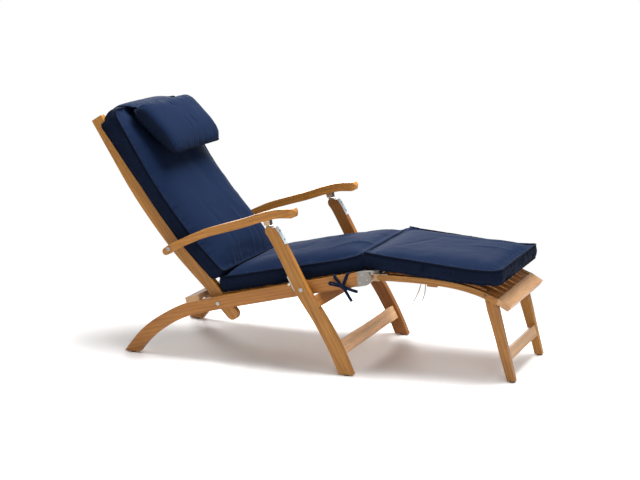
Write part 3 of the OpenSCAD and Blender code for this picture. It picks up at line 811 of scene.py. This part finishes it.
# The leg cushion spans straight over the curved footrest
leg = Boxed(
    below=[(853, 359), (890, 357), (983, 350), (1070, 342), (1156, 335), (1240, 331), (1324, 332)],
    above=[(858, 413), (895, 408), (983, 400), (1069, 393), (1155, 385), (1240, 379), (1300, 380),
           (1326, 384)],
    half=250, corner=(0, 0.022), crease=0)
LEG_FOLDS = [
    (0.25, 0.12, 0.12, 0.003, 0.014, 0.14),
    (0.34, 0.02, 0.25, -0.003, 0.012, 0.12),
    (0.12, -0.02, 1.2, 0.0025, 0.012, 0.14),
    (0.40, 0.16, 0.5, 0.003, 0.012, 0.08),
]
leg_obj = make_cushion("leg_pad", leg, "footrest", 23, crown=0.031, sag=0.002, bulge=0.005,
                       folds=LEG_FOLDS, pucker=1.15, heavy=0.3)
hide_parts("leg_cushion")
leg_trim = trim("leg_pad", leg, "footrest", ((0.44, -1, 0.44, 0), (0.44, 1, 0.44, 0)), 3)

# The back cushion lies on the stiles' front, with rounded top corners
STILE_LINE = smooth([(x, 0, z) for x, z in (
    (-129, 817), (-71, 722), (11.5, 589.6), (86, 486.6), (172, 381.5), (234.5, 316.7), (302.5, 249),
    (338, 203), (377, 162.5))], 40)


def before_stile(offset, x0, x1):
    """The stile's line between two x, moved forward by an offset in millimetres."""
    out = []
    last = len(STILE_LINE) - 1
    for i, p in enumerate(STILE_LINE):
        t = (STILE_LINE[min(i + 1, last)] - STILE_LINE[max(i - 1, 0)]).normalized()
        if x0 <= p.x <= x1:
            out.append((p.x - t.z * offset, p.z + t.x * offset))
    return out


back = Boxed(below=before_stile(23, -124, 290), above=before_stile(73, -124, 294), half=258.5,
             corner=(0.032, 0.02), lap=0.022, head_bulge=0.020)
BACK_FOLDS = [
    (0.10, -0.16, 0.5, 0.0035, 0.010, 0.06),
    (0.30, 0.05, 0.05, 0.003, 0.03, 0.2),
    (0.52, -0.10, 0.1, 0.003, 0.014, 0.12),
    (0.56, 0.05, 0.0, -0.003, 0.012, 0.10),
    (0.60, 0.12, 0.08, 0.003, 0.012, 0.10),
    (0.64, -0.04, 1.5, 0.003, 0.014, 0.16),
]
back_obj = make_cushion("back_pad", back, "back_frame", 37, crown=0.050, sag=0.002, bulge=0.006,
                        folds=BACK_FOLDS, heavy=0.3)
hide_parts("back_cushion")
back_trim = trim("back_pad", back, "back_frame", ((0.5, -1, 0.5, 0), (0.5, 1, 0.5, 0)), 4)


# ---- Head pillow: two panels joined by one piped seam, and the flap that holds it ----

PILLOW_LINE = [at(x, 0, z) for x, z in ((-18, 846), (140, 704))]
PILLOW_LENGTH, PILLOW_HALF = length_of(PILLOW_LINE), 0.2
PILLOW_HEIGHT, PILLOW_DEPTH = 0.056, 0.022  # above and below the seam
PILLOW_FOLDS = (
    (0.05, -0.03, 0.8, -0.003, 0.005, 0.02), (0.045, 0.06, 0.8, -0.0022, 0.005, 0.02),
    (0.13, 0.02, 0.2, -0.003, 0.006, 0.03), (0.14, -0.03, 0.1, -0.003, 0.006, 0.03),
)


def on_pillow(u, v, side):
    """A point of the pillow's upper panel at side 1, or its lower one at -1."""
    top, foot = PILLOW_LINE
    t = (foot - top).normalized()
    up = Vector((-t.z, 0, t.x))
    a, b = rounded((u - 0.5) * PILLOW_LENGTH, v * PILLOW_HALF, PILLOW_LENGTH / 2, PILLOW_HALF, 0.028)
    x = 2 * u - 1
    full = max(0, 1 - abs(x) ** (7 if x < 0 else 2.8)) ** 0.5 * max(0, 1 - abs(v) ** 16) ** 0.5
    dome = 0.82 + 0.18 * (1 - x * x) * (1 - v * v)
    height = PILLOW_HEIGHT if side > 0 else PILLOW_DEPTH
    return (top.lerp(foot, 0.5) + t * a + Vector((0, b, 0))
            + up * (side * full * dome * height * (1 - 0.12 * x)))


def pillow_puckers(u, v, side):
    """How far the pillow's cloth stands out at one place."""
    a, b = u * PILLOW_LENGTH, v * PILLOW_HALF
    move = 0.0
    edges = ((a, b, 0.7), (PILLOW_LENGTH - a, b, 0.8), (PILLOW_HALF - abs(b), a, 0.3))
    for k, (gap, run, strong) in enumerate(edges):
        if gap < 0.07:
            fine = wobble(run, k, 95, 5) + 0.8 * wobble(run, k + 5, 190, 5)
            reach = 0.018 + 0.02 * (wobble(run, k + 9, 25, 5) + 0.5)
            move += 0.0034 * strong * fine * math.exp(-gap / max(reach, 0.008)) * min(1, gap / 0.005)
    move += 0.002 * wobble(a, b, 11, 6)
    if side > 0:
        for each in PILLOW_FOLDS:
            move += fold(a, b, each)
    return move * min(1, abs(side))


def make_pillow():
    nu, nv = 30, 60
    verts, faces, index, info = [], [], {}, []
    for side in (1, -1):
        for i in range(nu + 1):
            for j in range(nv + 1):
                edge = i in (0, nu) or j in (0, nv)
                if edge and side < 0:
                    index[side, i, j] = index[1, i, j]
                    continue
                index[side, i, j] = len(verts)
                # the rows lie closer together near the seam, where the panels turn
                u = 0.5 - 0.5 * math.cos(math.pi * i / nu)
                v = -math.cos(math.pi * j / nv)
                verts.append(on_pillow(u, v, side))
                info.append((u, v, 0 if edge else side))
        for i in range(nu):
            for j in range(nv):
                quad = [index[side, i + di, j + dj] for di, dj in ((0, 0), (1, 0), (1, 1), (0, 1))]
                faces.append(tuple(quad if side > 0 else reversed(quad)))
    obj = new_object("pillow", verts, faces, NAVY, None)
    mesh, points, normals, where = rounded_mesh(obj, info, 2)
    for i, place in enumerate(where):
        points[i] += normals[i] * pillow_puckers(*(float(x) for x in place))
    mesh.vertices.foreach_set("co", points.ravel())
    mesh.update()
    # The pillow's ends take the darker copy of the navy, which is painted shade
    mesh.materials.append(NAVY_BAND_PAINTED_SHADE)
    for poly in mesh.polygons:
        poly.use_smooth = True
        poly.material_index = int(np.mean([abs(where[k][1]) for k in poly.vertices]) > 0.965)
    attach(obj, "back_frame")
    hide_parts("head_pillow")
    ring = []
    n = 60
    for path in ([(i / n, -1) for i in range(n)], [(1, -1 + 2 * i / n) for i in range(n)],
                 [(1 - i / n, 1) for i in range(n)], [(0, 1 - 2 * i / n) for i in range(n)]):
        ring += [on_pillow(u, v, 1) for u, v in path]
    return obj, piping("pillow_piping", ring, 0.0026, "back_frame", seed=8)


pillow, pillow_trim = make_pillow()

FLAP_LINE = [(-12, 851), (-36, 859), (-60, 862), (-82, 861), (-102, 856), (-120, 844), (-137, 825),
             (-143, 805), (-128, 766)]
FLAP_HALF = 0.165
FLAP_ROWS, FLAP_COLUMNS = 48, 60
FLAP_HALF_THICK = 0.0008


def make_flap():
    line = even(smooth([at(x, 0, z) for x, z in FLAP_LINE], 10), FLAP_ROWS)
    verts, faces = [], []
    for layer in (1, -1):
        for i, p in enumerate(line):
            t = (line[min(i + 1, FLAP_ROWS)] - line[max(i - 1, 0)]).normalized()
            up = Vector((t.z, 0, -t.x))
            for j in range(FLAP_COLUMNS + 1):
                v = 2 * j / FLAP_COLUMNS - 1
                ripple = wobble(v * FLAP_HALF, i / FLAP_ROWS, 38, 9)
                wave = 0.0022 * ripple * (0.35 + 0.65 * abs(1 - 2 * i / FLAP_ROWS))
                curl = 0.006 * abs(v) ** 6 * min(1, i / 6)
                verts.append(p + Vector((0, v * FLAP_HALF, 0)) + up * (layer * FLAP_HALF_THICK + wave - curl))
    step = FLAP_COLUMNS + 1
    size = (FLAP_ROWS + 1) * step
    for i in range(FLAP_ROWS):
        for j in range(FLAP_COLUMNS):
            a = i * step + j
            faces.append((a, a + 1, a + step + 1, a + step))
            faces.append((size + a, size + a + step, size + a + step + 1, size + a + 1))
    rim = [i * step for i in range(FLAP_ROWS)] + [FLAP_ROWS * step + j for j in range(FLAP_COLUMNS)]
    rim += [i * step + FLAP_COLUMNS for i in range(FLAP_ROWS, 0, -1)] + list(range(FLAP_COLUMNS, 0, -1))
    for k, a in enumerate(rim):
        b = rim[(k + 1) % len(rim)]
        faces.append((a, b, size + b, size + a))
    obj = new_object("pillow_flap", verts, faces, NAVY, "back_frame")
    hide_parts("pillow_strap")
    return obj


flap = make_flap()


# ---- The pieces that give way when the chair folds get meshes of their own ----

for obj in (back_obj, *back_trim, pillow, pillow_trim):
    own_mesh(obj)
for obj in (seat_obj, *seat_trim):
    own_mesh(obj)
for obj in (leg_obj, *leg_trim):
    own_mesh(obj)
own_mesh(flap)


# ---- Floor and light ----

FLOOR_MIDDLE = (0, -0.45, 0)
WHITE_BETWEEN = (1.1, 1.45)
WORLD_LEVEL = 0.38  # how strongly the white background lights the chair
bpy.ops.mesh.primitive_plane_add(size=40, location=(0, 0, -0.0005))
floor = bpy.context.object
floor.name = "floor"
paper = Nodes("floor_paper")
paper.set(Base_Color=(0.93, 0.93, 0.93), Roughness=0.9)
# Further out than this the paper is pure white, as the background is
far = paper.add("ShaderNodeVectorMath", operation="DISTANCE")
paper.join(paper.place, far.inputs[0])
far.inputs[1].default_value = FLOOR_MIDDLE
white = paper.add("ShaderNodeEmission")
both = paper.add("ShaderNodeMixShader")
paper.join(paper.span(far.outputs["Value"], 0, 1, *WHITE_BETWEEN), both.inputs[0])
paper.join(paper.shader.outputs[0], both.inputs[1])
paper.join(white.outputs[0], both.inputs[2])
paper.join(both.outputs[0], paper.tree.nodes["Material Output"].inputs["Surface"])
floor.data.materials.append(paper.material)

world = bpy.data.worlds.new("studio")
bpy.context.scene.world = world
world.use_nodes = True
glow = world.node_tree.nodes["Background"].inputs["Strength"]
world.node_tree.nodes["Background"].inputs["Color"].default_value = (1, 1, 1, 1)
seen = world.node_tree.nodes.new("ShaderNodeLightPath")
level = world.node_tree.nodes.new("ShaderNodeMapRange")
level.inputs["To Min"].default_value = WORLD_LEVEL
level.inputs["To Max"].default_value = 1.0
world.node_tree.links.new(seen.outputs["Is Camera Ray"], level.inputs["Value"])
world.node_tree.links.new(level.outputs["Result"], glow)


def softbox(name, place, aim, size, power):
    data = bpy.data.lights.new(name, "AREA")
    data.shape = "RECTANGLE"
    data.size, data.size_y = size
    data.energy = power
    obj = bpy.data.objects.new(name, data)
    bpy.context.scene.collection.objects.link(obj)
    obj.location = place
    obj.rotation_mode = "QUATERNION"
    obj.rotation_quaternion = (Vector(aim) - Vector(place)).to_track_quat("-Z", "Y")


softbox("overhead", (0.3, 0.4, 3.2), (0, 0, 0.3), (2.4, 2.0), 225)
softbox("foot_side", (2.6, -2.8, 1.5), (0.2, 0, 0.4), (1.6, 1.6), 30)
softbox("near_fill", (0.2, -4.4, 1.7), (0, 0, 0.4), (2.4, 1.8), 8)
softbox("behind", (-1.9, 4.2, 1.7), (0.2, 0, 0.5), (1.2, 1.0), 120)
bpy.context.scene.view_settings.view_transform = "Standard"
bpy.context.scene.view_settings.look = "None"
